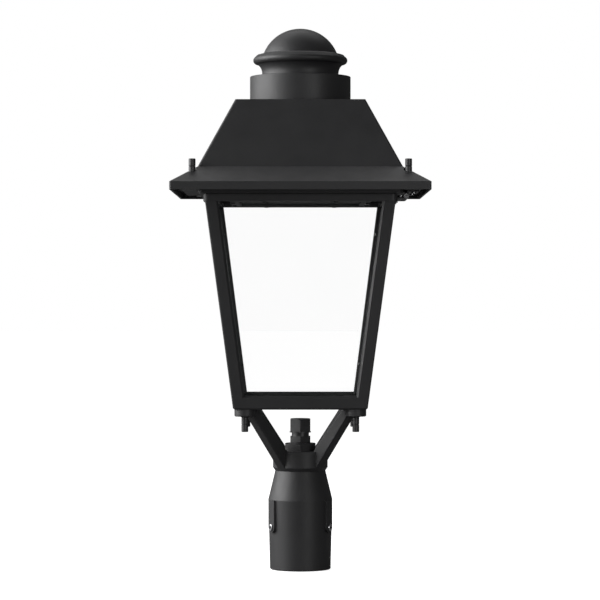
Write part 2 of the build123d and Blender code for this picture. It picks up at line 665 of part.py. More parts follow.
def glass_panes():
    layer = wall_layer(FRAME_WALL + GASKET_THICKNESS, GLASS_THICKNESS)
    pane = layer & side_cutter(GLASS_FOOT_Z, GLASS_TOP_Z, GLASS_EDGE_IN)
    return {side: Rot(0, 0, turn) * pane for side, turn in SIDES.items()}


def pane_gaskets():
    strip = wall_layer(FRAME_WALL, GASKET_THICKNESS) & side_cutter(GLASS_FOOT_Z, GLASS_TOP_Z, GLASS_EDGE_IN)
    strip -= side_cutter(FRAME_FOOT_Z + FOOT_RAIL_HEIGHT - GASKET_WINDOW_GAP, GLASS_TOP_Z + EPS,
                         POST_FACE - GASKET_WINDOW_GAP)
    return [Rot(0, 0, turn) * strip for turn in SIDES.values()]


def glazing_bars(screw_holes):
    """Angle strips in the four corners that press both neighbouring panes outwards."""
    low, high = GLASS_FOOT_Z + BAR_END_GAP, GLASS_TOP_Z - BAR_END_GAP
    inset = FRAME_WALL + GASKET_THICKNESS + GLASS_THICKNESS
    tube = tapered(inset, low, high) - tapered(inset + BAR_THICKNESS, low, high)
    wide = 2 * FLANGE_HALF
    for quarter in (0, 90):
        sections = []
        for z in (low, high):
            gap = 2 * (frame_half(z) - inset - BAR_LEG)
            sections.append(Pos(0, 0, z) * Rectangle(gap, wide))
        tube -= Rot(0, 0, quarter) * loft(sections, ruled=True)
    for hole in screw_holes:
        tube -= hole
    return tube.solids()


# ---------------------------------------------------------------- roof tray, gasket and shell
DRIVER_EAR_Y = DRIVER_LENGTH / 2 + DRIVER_EAR / 2
SINK_SCREW_LINE = (LIGHT_OPENING_HALF + SINK_HALF) / 2
BEZEL_SCREW_LINE = (COVER_HALF + COVER_SIDE_GAP + BEZEL_HALF) / 2
FRAME_LEAF_SCREW_Z = FLANGE_TOP_Z - FRAME_LEAF_HEIGHT + FRAME_LEAF_SCREW_HEAD_R + LOOSE
ROOF_LEAF_SCREW_X = (HINGE_X + KNUCKLE_R + TRAY_FLANGE_HALF) / 2
RIVET_X = CATCH_LEG_X + CATCH_FOOT / 2
CATCH_Y = BEZEL_HALF - CATCH_WIDTH / 2


def ring_of_spots(line, spread):
    """Two spots on each side of a square, at a distance from the middle."""
    return ([(side * line, y) for side in (-1, 1) for y in (-spread, spread)]
            + [(x, side * line) for side in (-1, 1) for x in (-spread, spread)])


SINK_SPOTS = ring_of_spots(SINK_SCREW_LINE, LIGHT_OPENING_HALF / 2)
BEZEL_SPOTS = ring_of_spots(BEZEL_SCREW_LINE, BEZEL_HALF / 2)
DRIVER_SPOTS = [(GEAR_LINE, -DRIVER_EAR_Y), (GEAR_LINE, DRIVER_EAR_Y)]
HINGE_SPOTS = [(ROOF_LEAF_SCREW_X, -ROOF_LEAF_SCREW_Y), (ROOF_LEAF_SCREW_X, ROOF_LEAF_SCREW_Y)]
RIVET_SPOTS = [(RIVET_X, -CATCH_Y), (RIVET_X, CATCH_Y)]


def roof_tray():
    tray = plate(TRAY_RIM_HALF, TRAY_FOOT_Z, TRAY_TOP_Z, TRAY_CORNER_R)
    tray += plate(TRAY_FLANGE_HALF, TRAY_FLANGE_FOOT_Z, TRAY_TOP_Z, TRAY_CORNER_R)
    tray -= plate(TRAY_RIM_HALF - TRAY_WALL, TRAY_FLOOR_Z, TRAY_TOP_Z + EPS, TRAY_CORNER_R - TRAY_WALL)
    tray -= plate(LIGHT_OPENING_HALF, TRAY_FOOT_Z - EPS, TRAY_FLOOR_Z + EPS)
    tray -= rod(GROMMET_HOLE_R, TRAY_FOOT_Z - EPS, TRAY_FLOOR_Z + EPS, 0, GROMMET_LINE)
    for x, y in SINK_SPOTS + BEZEL_SPOTS + DRIVER_SPOTS:
        tray -= rod(GEAR_SCREW_R + RUNNING, TRAY_FOOT_Z - EPS, TRAY_FLOOR_Z + EPS, x, y)
    for x, y in HINGE_SPOTS:
        tray -= rod(GEAR_SCREW_R + RUNNING, TRAY_FLANGE_FOOT_Z - EPS, TRAY_TOP_Z + EPS, x, y)
    for x, y in RIVET_SPOTS:
        tray -= rod(RIVET_R + RUNNING, TRAY_FOOT_Z - EPS, TRAY_FLOOR_Z + EPS, x, y)
    for x, y in CORNERS:
        tray -= rod(STUD_R + RUNNING, TRAY_FLANGE_FOOT_Z - EPS, TRAY_TOP_Z + EPS,
                    x * ROOF_BOSS_OFFSET, y * ROOF_BOSS_OFFSET)
    return tray


def roof_gasket():
    return plate(FLANGE_HALF - ROOF_GASKET_OUTER_MARGIN, TRAY_FOOT_Z - ROOF_GASKET_THICKNESS, TRAY_FOOT_Z,
                 FLANGE_CORNER_R, FLANGE_OPENING_HALF + ROOF_GASKET_INNER_MARGIN)


def inset_corners(points, distance):
    """Moves an outline of (half width, z) points inwards by a distance, with mitred corners."""
    normals = []
    for (r0, z0), (r1, z1) in zip(points, points[1:]):
        length = hypot(r1 - r0, z1 - z0)
        normals.append(((z0 - z1) / length, (r1 - r0) / length))
    moved = [(points[0][0] + normals[0][0] * distance, points[0][1])]
    for (r, z), (ax, az), (bx, bz) in zip(points[1:], normals, normals[1:]):
        scale = distance / (1 + ax * bx + az * bz)
        moved.append((r + (ax + bx) * scale, z + (az + bz) * scale))
    (r0, z0), (r1, z1) = points[-2:]
    ceiling = z1 - distance
    last = moved[-1]
    moved.append((last[0] + (r1 - r0) * (ceiling - last[1]) / (z1 - z0), ceiling))
    return moved


def stepped(points, corner):
    """A square solid whose half width follows (half width, z) points upwards."""
    body = None
    for (low, z_low), (high, z_high) in zip(points, points[1:]):
        storey = frustum(low, high, z_low, z_high, corner)
        body = storey if body is None else body + storey
    return body


def roof_shell():
    outline = [(EAVE_HALF, EAVE_Z), (EAVE_HALF, BAND_TOP_Z), (FLARE_TOP_HALF, FLARE_TOP_Z),
               (ROOF_TOP_HALF, ROOF_TOP_Z)]
    outer = stepped(outline, ROOF_CORNER_R)
    inner = stepped(inset_corners(outline, ROOF_WALL), ROOF_CORNER_R / 2)
    inner += plate(EAVE_HALF - ROOF_WALL, EAVE_Z - EPS, EAVE_Z + EPS, ROOF_CORNER_R / 2)
    shell = outer - inner
    for x, y in CORNERS:
        place = (x * ROOF_BOSS_OFFSET, y * ROOF_BOSS_OFFSET)
        shell += rod(ROOF_BOSS_R, TRAY_TOP_Z, FLARE_TOP_Z, *place) & outer
        shell -= rod(POCKET_R, POCKET_Z, FLARE_TOP_Z + POCKET_DROP, *place)
        shell -= rod(STUD_R + RUNNING, TRAY_TOP_Z - EPS, POCKET_Z + EPS, *place)
    return shell - rod(CAP_STUD_R + LOOSE, ROOF_TOP_Z - 2 * ROOF_WALL, ROOF_TOP_Z + EPS)


# ---------------------------------------------------------------- chimney
def chimney_collar():
    collar = rod(COLLAR_R, ROOF_TOP_Z, COLLAR_TOP_Z)
    collar = fillet(collar.edges().group_by(Axis.Z)[-1], COLLAR_EDGE)
    collar -= rod(COLLAR_R - COLLAR_WALL, ROOF_TOP_Z - EPS, COLLAR_TOP_Z - COLLAR_WALL)
    return collar - rod(CAP_STUD_R + LOOSE, COLLAR_TOP_Z - 2 * COLLAR_WALL, COLLAR_TOP_Z + EPS)


def dome_arc(radius):
    """From the axis at the rim's height out to the dome's foot, then along the dome to its top."""
    start_lean = acos((RIM_TOP_Z - DOME_CENTRE_Z) / radius)
    start = (radius * sin(start_lean), 0, RIM_TOP_Z)
    middle = (radius * sin(start_lean / 2), 0, DOME_CENTRE_Z + radius * cos(start_lean / 2))
    return Polyline((0, 0, RIM_TOP_Z), start) + ThreePointArc(start, middle, (0, 0, DOME_CENTRE_Z + radius))


def dome_ball(radius):
    """The part of a ball around the dome's centre that lies above the rim."""
    axis = Line((0, 0, DOME_CENTRE_Z + radius), (0, 0, RIM_TOP_Z))
    return revolve(make_face(dome_arc(radius) + axis), Axis.Z)


CAP_BORE_R = CAP_NECK_R - CAP_NECK_WALL
CAP_NECK_TOP_Z = COLLAR_TOP_Z + CAP_NECK_HEIGHT
CAP_FLARE_TOP_Z = CAP_NECK_TOP_Z + CAP_FLARE_HEIGHT
RIM_TOP_Z = CAP_FLARE_TOP_Z + RIM_HEIGHT
CAP_BOSS_Z = DOME_CENTRE_Z + DOME_R - DOME_WALL - CAP_BOSS_HEIGHT
CAP_NUT_TOP_Z = ROOF_TOP_Z - ROOF_WALL - CAP_WASHER_THICKNESS


def chimney_cap():
    """The turned ring between collar and dome: a neck, a flare and a rim with a rounded nose."""
    nose_x = RIM_R - RIM_NOSE_R
    nose_z = CAP_FLARE_TOP_Z + RIM_NOSE_R + RIM_NOSE_RISE

    def on_nose(angle):
        return (nose_x + RIM_NOSE_R * cos(radians(angle)), 0, nose_z + RIM_NOSE_R * sin(radians(angle)))

    outline = make_face(
        Polyline((CAP_BORE_R, 0, RIM_TOP_Z), (CAP_BORE_R, 0, COLLAR_TOP_Z), (CAP_NECK_R, 0, COLLAR_TOP_Z),
                 (CAP_NECK_R, 0, CAP_NECK_TOP_Z))
        + TangentArc((CAP_NECK_R, 0, CAP_NECK_TOP_Z), (CAP_FLARE_R, 0, CAP_FLARE_TOP_Z), tangent=(0, 0, 1))
        + Line((CAP_FLARE_R, 0, CAP_FLARE_TOP_Z), on_nose(-90))
        + ThreePointArc(on_nose(-90), on_nose((RIM_NOSE_END - 90) / 2), on_nose(RIM_NOSE_END))
        + Polyline(on_nose(RIM_NOSE_END), (nose_x, 0, RIM_TOP_Z - RIM_SHOULDER), (CAP_NECK_R, 0, RIM_TOP_Z),
                   (CAP_BORE_R, 0, RIM_TOP_Z)))
    return revolve(outline, Axis.Z)


def cap_dome():
    """The spun dome, with a spigot that centres it in the ring and a boss for the stud."""
    spigot_r = CAP_BORE_R - LOOSE
    inner_r = spigot_r - DOME_SPIGOT_WALL
    seat_top_z = RIM_TOP_Z + DOME_SEAT_THICKNESS
    dome = dome_ball(DOME_R) - dome_ball(DOME_R - DOME_WALL)
    dome += dome_ball(DOME_R) & ring(DOME_R, inner_r, RIM_TOP_Z, seat_top_z)
    dome += ring(spigot_r, inner_r, RIM_TOP_Z - DOME_SPIGOT_LENGTH, seat_top_z)
    boss = rod(CAP_BOSS_R, CAP_BOSS_Z, CAP_BOSS_Z + CAP_BOSS_HEIGHT + DOME_WALL / 2)
    boss -= rod(CAP_STUD_R + RUNNING, CAP_BOSS_Z - EPS, CAP_BOSS_Z + CAP_STUD_IN_BOSS + RUNNING)
    return dome + boss


def cap_stud():
    return rod(CAP_STUD_R, CAP_NUT_TOP_Z - CAP_NUT_HEIGHT - CAP_STUD_END, CAP_BOSS_Z + CAP_STUD_IN_BOSS)


def cap_washer():
    return ring(CAP_WASHER_R, CAP_STUD_R + RUNNING, CAP_NUT_TOP_Z, ROOF_TOP_Z - ROOF_WALL)


def cap_nut():
    return hexagon(CAP_NUT_AF, CAP_NUT_TOP_Z - CAP_NUT_HEIGHT, CAP_NUT_TOP_Z, CAP_STUD_R + RUNNING)


# ---------------------------------------------------------------- light source
def screw(x, y, seat, head_up, length):
    """A pan head screw: its head stands on the seat and its shank goes the other way."""
    way = 1 if head_up else -1
    low, high = sorted((seat, seat + way * GEAR_SCREW_HEAD_HEIGHT))
    head = rod(GEAR_SCREW_HEAD_R, low, high, x, y)
    low, high = sorted((seat, seat - way * length))
    return head + rod(GEAR_SCREW_R, low, high, x, y)


def heat_sink():
    sink = plate(SINK_HALF, TRAY_FLOOR_Z, TRAY_FLOOR_Z + SINK_BASE)
    fin_half = LIGHT_OPENING_HALF - FIN_SETBACK
    for x in spread_evenly(FIN_COUNT, fin_half):
        sink += block(x - FIN_THICKNESS / 2, x + FIN_THICKNESS / 2, -fin_half, fin_half,
                      TRAY_FLOOR_Z + SINK_BASE - EPS, TRAY_FLOOR_Z + SINK_BASE + FIN_HEIGHT)
    for x, y in SINK_SPOTS:
        sink -= rod(GEAR_SCREW_R + RUNNING, TRAY_FLOOR_Z - EPS, TRAY_FLOOR_Z + SINK_BASE + EPS, x, y)
    return sink


def heat_sink_screws():
    return [screw(x, y, TRAY_FLOOR_Z + SINK_BASE, True, SINK_BASE + TRAY_SHEET) for x, y in SINK_SPOTS]


def led_board():
    return plate(BOARD_HALF, BOARD_Z, TRAY_FLOOR_Z)


def led_lenses():
    lenses = plate(LENS_PLATE_HALF, LENS_PLATE_Z, BOARD_Z)
    lens = Sphere(LENS_R) & Pos(0, 0, -LENS_R) * Box(2 * LENS_R, 2 * LENS_R, 2 * LENS_DEPTH)
    places = spread_evenly(LENS_ROWS, LENS_PLATE_HALF - LENS_EDGE)
    for x in places:
        for y in places:
            lenses += Pos(x, y, LENS_PLATE_Z + LENS_R - LENS_DEPTH) * lens
    return lenses


def cover_glass():
    return plate(COVER_HALF, COVER_Z, COVER_TOP_Z)


def cover_glass_seal():
    return plate(COVER_HALF, COVER_TOP_Z, TRAY_FOOT_Z, hole=COVER_HALF - COVER_SEAL_WIDTH)


def optic_bezel():
    bezel = plate(BEZEL_HALF, BEZEL_Z, TRAY_FOOT_Z, BEZEL_CORNER_R)
    bezel -= plate(COVER_HALF + COVER_SIDE_GAP, COVER_Z, TRAY_FOOT_Z + EPS)
    bezel -= plate(COVER_HALF - BEZEL_LIP_WIDTH, BEZEL_Z - EPS, COVER_Z + EPS)
    for x, y in BEZEL_SPOTS:
        bezel -= rod(GEAR_SCREW_R + RUNNING, BEZEL_Z - EPS, TRAY_FOOT_Z + EPS, x, y)
    return bezel


def bezel_screws():
    length = TRAY_FOOT_Z - BEZEL_Z + TRAY_SHEET
    return [screw(x, y, BEZEL_Z, False, length) for x, y in BEZEL_SPOTS]


# ---------------------------------------------------------------- control gear
def led_driver():
    low_x, high_x = GEAR_LINE - DRIVER_WIDTH / 2, GEAR_LINE + DRIVER_WIDTH / 2
    case = block(low_x, high_x, -DRIVER_LENGTH / 2, DRIVER_LENGTH / 2,
                 TRAY_FLOOR_Z, TRAY_FLOOR_Z + DRIVER_HEIGHT)
    case = fillet(case.edges().filter_by(Axis.Y).group_by(Axis.Z)[-1], DRIVER_EDGE)
    reach = DRIVER_LENGTH / 2 + DRIVER_EAR
    case += block(low_x + DRIVER_EDGE, high_x - DRIVER_EDGE, -reach, reach, TRAY_FLOOR_Z,
                  TRAY_FLOOR_Z + DRIVER_EAR_THICKNESS)
    for x, y in DRIVER_SPOTS:
        case -= rod(GEAR_SCREW_R + RUNNING, TRAY_FLOOR_Z - EPS, TRAY_FLOOR_Z + DRIVER_EAR_THICKNESS + EPS,
                    x, y)
    return case


def driver_screws():
    length = DRIVER_EAR_THICKNESS + TRAY_SHEET
    return [screw(x, y, TRAY_FLOOR_Z + DRIVER_EAR_THICKNESS, True, length) for x, y in DRIVER_SPOTS]


def surge_protector():
    half = SURGE_WIDTH / 2
    case = block(-GEAR_LINE - half, -GEAR_LINE + half, -GEAR_SPACING - SURGE_LENGTH, -GEAR_SPACING,
                 TRAY_FLOOR_Z, TRAY_FLOOR_Z + SURGE_HEIGHT)
    return fillet(case.edges().group_by(Axis.Z)[-1], DRIVER_EDGE)


def terminal_block():
    half = TERMINAL_WIDTH / 2
    case = block(-GEAR_LINE - half, -GEAR_LINE + half, GEAR_SPACING, GEAR_SPACING + TERMINAL_LENGTH,
                 TRAY_FLOOR_Z, TRAY_FLOOR_Z + TERMINAL_HEIGHT)
    pitch = TERMINAL_LENGTH / TERMINAL_WAYS
    wire_z = TRAY_FLOOR_Z + TERMINAL_HEIGHT / 3
    for way in range(TERMINAL_WAYS):
        y = GEAR_SPACING + pitch * (way + 0.5)
        case -= rod(TERMINAL_HOLE_R, TRAY_FLOOR_Z + TERMINAL_HEIGHT - TERMINAL_HOLE_DEPTH,
                    TRAY_FLOOR_Z + TERMINAL_HEIGHT + EPS, -GEAR_LINE, y)
        face = -GEAR_LINE + half
        case -= along_x(TERMINAL_HOLE_R, face - TERMINAL_HOLE_DEPTH, face + EPS, y, wire_z)
    return case


def tray_grommet():
    lip_low, lip_high = TRAY_FOOT_Z - GROMMET_LIP, TRAY_FLOOR_Z + GROMMET_LIP
    return lathe([
        (GROMMET_BORE_R, lip_low), (GROMMET_R, lip_low), (GROMMET_R, TRAY_FOOT_Z),
        (GROMMET_HOLE_R, TRAY_FOOT_Z), (GROMMET_HOLE_R, TRAY_FLOOR_Z), (GROMMET_R, TRAY_FLOOR_Z),
        (GROMMET_R, lip_high), (GROMMET_BORE_R, lip_high),
    ]).move(Location((0, GROMMET_LINE, 0)))


# ---------------------------------------------------------------- hinge and catches
def hinge_frame_leaf():
    half = HINGE_LENGTH / 2
    inner = ROOF_KNUCKLE_LENGTH / 2 + KNUCKLE_GAP
    leaf = block(FLANGE_HALF, FLANGE_HALF + HINGE_SHEET, -half, half,
                 FLANGE_TOP_Z - FRAME_LEAF_HEIGHT, FLANGE_TOP_Z)
    arm_z = HINGE_Z - KNUCKLE_R
    arm_end = HINGE_X - KNUCKLE_R - 2 * KNUCKLE_GAP
    leaf += block(FLANGE_HALF, arm_end, -half, half, arm_z, arm_z + HINGE_SHEET)
    for y_low, y_high in ((-half, -inner), (inner, half)):
        leaf += block(FLANGE_HALF, HINGE_X, y_low, y_high, arm_z, arm_z + HINGE_SHEET)
        leaf += along_y(KNUCKLE_R, y_low, y_high, HINGE_X, HINGE_Z)
    leaf -= along_y(HINGE_PIN_R + RUNNING, -half - EPS, half + EPS, HINGE_X, HINGE_Z)
    for y in (-FRAME_LEAF_SCREW_Y, FRAME_LEAF_SCREW_Y):
        leaf -= along_x(FRAME_LEAF_SCREW_R + RUNNING, FLANGE_HALF - EPS, FLANGE_HALF + HINGE_SHEET + EPS, y,
                        FRAME_LEAF_SCREW_Z)
    return leaf


def hinge_frame_screws():
    face = FLANGE_HALF + HINGE_SHEET
    screws = []
    for y in (-FRAME_LEAF_SCREW_Y, FRAME_LEAF_SCREW_Y):
        shank = along_x(FRAME_LEAF_SCREW_R, FLANGE_HALF - FRAME_LEAF_SCREW_DEPTH, face, y, FRAME_LEAF_SCREW_Z)
        head = along_x(FRAME_LEAF_SCREW_HEAD_R, face, face + FRAME_LEAF_SCREW_HEAD_HEIGHT, y,
                       FRAME_LEAF_SCREW_Z)
        screws.append(shank + head)
    return screws


def hinge_roof_leaf():
    half = HINGE_LENGTH / 2
    knuckle = ROOF_KNUCKLE_LENGTH / 2
    outer = HINGE_X + KNUCKLE_R
    leaf = block(outer - HINGE_SHEET, TRAY_FLANGE_HALF, -half, half, TRAY_FLANGE_FOOT_Z - HINGE_SHEET,
                 TRAY_FLANGE_FOOT_Z)
    leaf += block(outer - HINGE_SHEET, outer, -knuckle, knuckle, HINGE_Z, TRAY_FLANGE_FOOT_Z)
    leaf += along_y(KNUCKLE_R, -knuckle, knuckle, HINGE_X, HINGE_Z)
    leaf -= along_y(HINGE_PIN_R + RUNNING, -knuckle - EPS, knuckle + EPS, HINGE_X, HINGE_Z)
    for x, y in HINGE_SPOTS:
        leaf -= rod(GEAR_SCREW_R + RUNNING, TRAY_FLANGE_FOOT_Z - HINGE_SHEET - EPS,
                    TRAY_FLANGE_FOOT_Z + EPS, x, y)
    return leaf


def hinge_roof_screws():
    seat = TRAY_FLANGE_FOOT_Z - HINGE_SHEET
    return [screw(x, y, seat, False, HINGE_SHEET + TRAY_SHEET) for x, y in HINGE_SPOTS]


def hinge_pin():
    half = HINGE_LENGTH / 2
    pin = along_y(HINGE_PIN_R, -half - PIN_HEAD_THICKNESS, half + PIN_HEAD_THICKNESS, HINGE_X, HINGE_Z)
    for y_low in (-half - PIN_HEAD_THICKNESS, half):
        pin += along_y(PIN_HEAD_R, y_low, y_low + PIN_HEAD_THICKNESS, HINGE_X, HINGE_Z)
    return pin


def snap_catches():
    """Bent spring strips: a foot under the tray and a bowed leg beside the flange's opening."""
    outer_x, inner_x = CATCH_LEG_X, CATCH_LEG_X + CATCH_SHEET
    foot_z = TRAY_FOOT_Z - CATCH_SHEET
    tip_z = TRAY_FOOT_Z - CATCH_DROP
    crest_z = (foot_z + tip_z) / 2
    leg = make_face(
        ThreePointArc((outer_x, 0, foot_z), (outer_x - CATCH_BOW, 0, crest_z), (outer_x, 0, tip_z))
        + Line((outer_x, 0, tip_z), (inner_x, 0, tip_z))
        + ThreePointArc((inner_x, 0, tip_z), (inner_x - CATCH_BOW, 0, crest_z), (inner_x, 0, foot_z))
        + Line((inner_x, 0, foot_z), (outer_x, 0, foot_z)))
    strip = extrude(leg, CATCH_WIDTH / 2, both=True)
    strip += block(outer_x, outer_x + CATCH_FOOT, -CATCH_WIDTH / 2, CATCH_WIDTH / 2, foot_z, TRAY_FOOT_Z)
    strip -= rod(RIVET_R + RUNNING, foot_z - EPS, TRAY_FOOT_Z + EPS, RIVET_X, 0)
    return [Pos(0, y, 0) * strip for y in (-CATCH_Y, CATCH_Y)]


def catch_rivets():
    rivets = []
    low = TRAY_FOOT_Z - CATCH_SHEET
    for x, y in RIVET_SPOTS:
        rivet = rod(RIVET_R, low, TRAY_FLOOR_Z, x, y)
        rivet += rod(RIVET_HEAD_R, low - RIVET_HEAD_HEIGHT, low, x, y)
        rivets.append(rivet + rod(RIVET_HEAD_R, TRAY_FLOOR_Z, TRAY_FLOOR_Z + RIVET_HEAD_HEIGHT, x, y))
    return rivets


# ---------------------------------------------------------------- all the nodes
def make_nodes():
    screws, screw_holes = glazing_screws()
    arm_inner, arm_ends = corner_stack(PAD_OFFSET, ARM_NUT_SEAT_Z, up=False)
    roof_inner, roof_ends = corner_stack(ROOF_BOSS_OFFSET, POCKET_Z, up=True)
    nodes = {
        "post_sleeve": post_sleeve(),
        "arm_spider": arm_spider(),
        "hollow_nipple": hollow_nipple(),
        "lower_washer": lower_washer(),
        "lower_locknut": lower_locknut(),
        "hub_nut": hub_nut(),
        "gland_o_ring": gland_o_ring(),
        "gland_body": gland_body(),
        "gland_seal": gland_seal(),
        "gland_dome_nut": gland_dome_nut(),
        "arm_studs": arm_studs(),
        "arm_washers": arm_washers(),
        "arm_sleeve_nuts": arm_inner,
        "arm_cap_nuts": arm_ends,
        "lantern_frame": lantern_frame(screw_holes),
        "pane_gaskets": pane_gaskets(),
        "glazing_bars": glazing_bars(screw_holes),
        "glazing_screws": screws,
        "roof_tray": roof_tray(),
        "roof_gasket": roof_gasket(),
        "roof_shell": roof_shell(),
        "roof_studs": roof_studs(),
        "roof_sleeve_nuts": roof_inner,
        "roof_cap_nuts": roof_ends,
        "chimney_collar": chimney_collar(),
        "chimney_cap": chimney_cap(),
        "cap_dome": cap_dome(),
        "cap_stud": cap_stud(),
        "cap_washer": cap_washer(),
        "cap_nut": cap_nut(),
        "heat_sink": heat_sink(),
        "heat_sink_screws": heat_sink_screws(),
        "led_board": led_board(),
        "led_lenses": led_lenses(),
        "cover_glass": cover_glass(),
        "cover_glass_seal": cover_glass_seal(),
        "optic_bezel": optic_bezel(),
        "bezel_screws": bezel_screws(),
        "led_driver": led_driver(),
        "driver_screws": driver_screws(),
        "surge_protector": surge_protector(),
        "terminal_block": terminal_block(),
        "tray_grommet": tray_grommet(),
        "hinge_frame_leaf": hinge_frame_leaf(),
        "hinge_frame_screws": hinge_frame_screws(),
        "hinge_roof_leaf": hinge_roof_leaf(),
        "hinge_roof_screws": hinge_roof_screws(),
        "hinge_pin": hinge_pin(),
        "snap_catches": snap_catches(),
        "catch_rivets": catch_rivets(),
    }
    for side, angle in SCREW_DIRECTIONS.items():
        nodes["set_screw_" + side] = set_screw(angle)
    for side, pane in glass_panes().items():
        nodes["glass_" + side] = pane
    return nodes


def solids_of(shape):
    if isinstance(shape, (list, tuple)):
        return [solid for piece in shape for solid in piece.solids()]
    return list(shape.solids())


os.makedirs("parts", exist_ok=True)
for name, shape in make_nodes().items():
    solids = solids_of(shape)
    whole = solids[0] if len(solids) == 1 else Compound(children=solids)
    export_step(whole, f"parts/{name}.step")
    print(f"{name}: {len(solids)} solid(s), {sum(solid.volume for solid in solids):.1f} mm3")
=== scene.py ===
"""Looks of the post top lantern: materials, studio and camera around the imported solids."""

import json
import math

import bmesh
import bpy
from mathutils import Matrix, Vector


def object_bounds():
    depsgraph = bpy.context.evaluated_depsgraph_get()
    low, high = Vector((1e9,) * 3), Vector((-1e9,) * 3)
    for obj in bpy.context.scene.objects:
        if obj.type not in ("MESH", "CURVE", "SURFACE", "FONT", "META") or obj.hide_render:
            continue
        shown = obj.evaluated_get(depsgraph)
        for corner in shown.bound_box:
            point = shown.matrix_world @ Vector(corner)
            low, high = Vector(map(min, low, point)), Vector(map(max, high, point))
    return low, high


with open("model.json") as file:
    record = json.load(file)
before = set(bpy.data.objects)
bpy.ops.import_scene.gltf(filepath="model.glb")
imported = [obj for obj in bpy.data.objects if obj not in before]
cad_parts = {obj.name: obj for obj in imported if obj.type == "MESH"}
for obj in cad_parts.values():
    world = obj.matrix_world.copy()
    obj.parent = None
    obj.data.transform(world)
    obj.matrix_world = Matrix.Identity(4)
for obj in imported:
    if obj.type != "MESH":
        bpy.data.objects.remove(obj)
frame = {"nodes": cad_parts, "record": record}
CAD_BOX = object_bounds()
NODES = frame["nodes"]
MM = 0.001

# Materials
NOISE_LOW, NOISE_HIGH = 0.3, 0.7  # most values of a noise lie between these
COAT_LOW, COAT_HIGH = 0.35, 0.65  # the same for the powder coat, with a steeper step
LINES_ALONG_Z = (60.0, 60.0, 2200.0)
LINES_ALONG_Y = (700.0, 30.0, 700.0)
GLASS_IOR = 1.5
SLANT_BLEND = 0.25
SLANT_PAINTED_REFLECTION = 0.5  # how much more the glass holds back where it is seen edge on, so that its grey shows there as a painted reflection
TRACK_WIDTH = 0.6 * MM
TRACK_SPACING_X, TRACK_SPACING_Y = 38.0 * MM, 19.0 * MM

# World and floor
WORLD_FILL = 0.29  # the world's light on rough surfaces
WORLD_DIM = 0.07  # the world in reflections, away from its bright left side
WORLD_WHITE_X, WORLD_DIM_X = -0.95, -0.2  # the directions between which the bright side fades
FLOOR_HALF = 30.0
FLOOR_CELLS = 8
FLOOR_DROP = 0.5 * MM  # keeps the floor clear of the sleeve's foot
FLOOR_BOUNCE = 0.16  # the floor's grey where it lights the object
FLOOR_SHOWN = 0.6  # the floor's grey to the camera, before the glow
FLOOR_GLOW = 0.85  # lifts that grey to white

# Lamps: name, azimuth from the front (negative to the left), elevation, distance, width, height, watts
LAMPS = (("key_left", -85, 22, 2.4, 2.8, 2.2, 116),
         ("fill_front", 28, 0, 3.4, 0.7, 1.6, 27),
         ("top_rear", 180, 62, 2.6, 2.2, 1.2, 12))
LAMP_AIM = (0.0, 0.0, 0.42)

# Camera
CAMERA_PLACE = (-0.0005, -3.987, 0.4029)
CAMERA_TILT = 90.0  # about X, in degrees: level, along +Y
CAMERA_LENS = 159.5
CAMERA_SENSOR = 36.0
CAMERA_SIGHT = 200.0


# ---------------------------------------------------------------- node trees
class Tree:
    """A node tree, with short ways to add a node and to link it."""

    def __init__(self, tree):
        self.tree = tree

    def add(self, kind, sockets=None, **settings):
        """A new node, with values for its sockets and for its own settings."""
        node = self.tree.nodes.new(kind)
        for key, value in settings.items():
            setattr(node, key, value)
        for key, value in (sockets or {}).items():
            node.inputs[key].default_value = value
        return node

    def link(self, output, node, socket):
        self.tree.links.new(output, node.inputs[socket])


class Shader(Tree):
    """The node tree of one new material, in the object's own coordinates."""

    def __init__(self, name):
        self.material = bpy.data.materials.new(name)
        self.material.use_nodes = True
        super().__init__(self.material.node_tree)
        self.bsdf = self.tree.nodes["Principled BSDF"]
        self.place = self.add("ShaderNodeTexCoord").outputs["Object"]

    def scaled(self, scale):
        mapping = self.add("ShaderNodeMapping", {"Scale": scale})
        self.link(self.place, mapping, "Vector")
        return mapping.outputs["Vector"]

    def noise(self, scale, detail, vector=None):
        node = self.add("ShaderNodeTexNoise", {"Scale": scale, "Detail": detail})
        self.link(vector or self.place, node, "Vector")
        return node.outputs["Fac"]

    def colour(self, source, dark, light, low=NOISE_LOW, high=NOISE_HIGH):
        """Base colour that goes from dark to light as the source goes from low to high."""
        node = self.add("ShaderNodeValToRGB")
        for element, position, value in zip(node.color_ramp.elements, (low, high), (dark, light)):
            element.position = position
            element.color = (*value, 1.0)
        self.link(source, node, "Fac")
        self.link(node.outputs["Color"], self.bsdf, "Base Color")

    def to_range(self, source, low, high):
        """The source's usual values, spread from low to high."""
        node = self.add("ShaderNodeMapRange", {"From Min": NOISE_LOW, "From Max": NOISE_HIGH,
                                               "To Min": low, "To Max": high})
        self.link(source, node, "Value")
        return node.outputs["Result"]

    def roughness(self, source, low, high):
        self.link(self.to_range(source, low, high), self.bsdf, "Roughness")

    def bump(self, height, strength, distance, normal=None):
        node = self.add("ShaderNodeBump", {"Strength": strength, "Distance": distance})
        self.link(height, node, "Height")
        if normal is not None:
            self.link(normal, node, "Normal")
        return node.outputs["Normal"]

    def relief(self, height, strength, distance, normal=None):
        self.link(self.bump(height, strength, distance, normal), self.bsdf, "Normal")

    def soft_edges(self, radius):
        return self.add("ShaderNodeBevel", {"Radius": radius}, samples=6).outputs["Normal"]


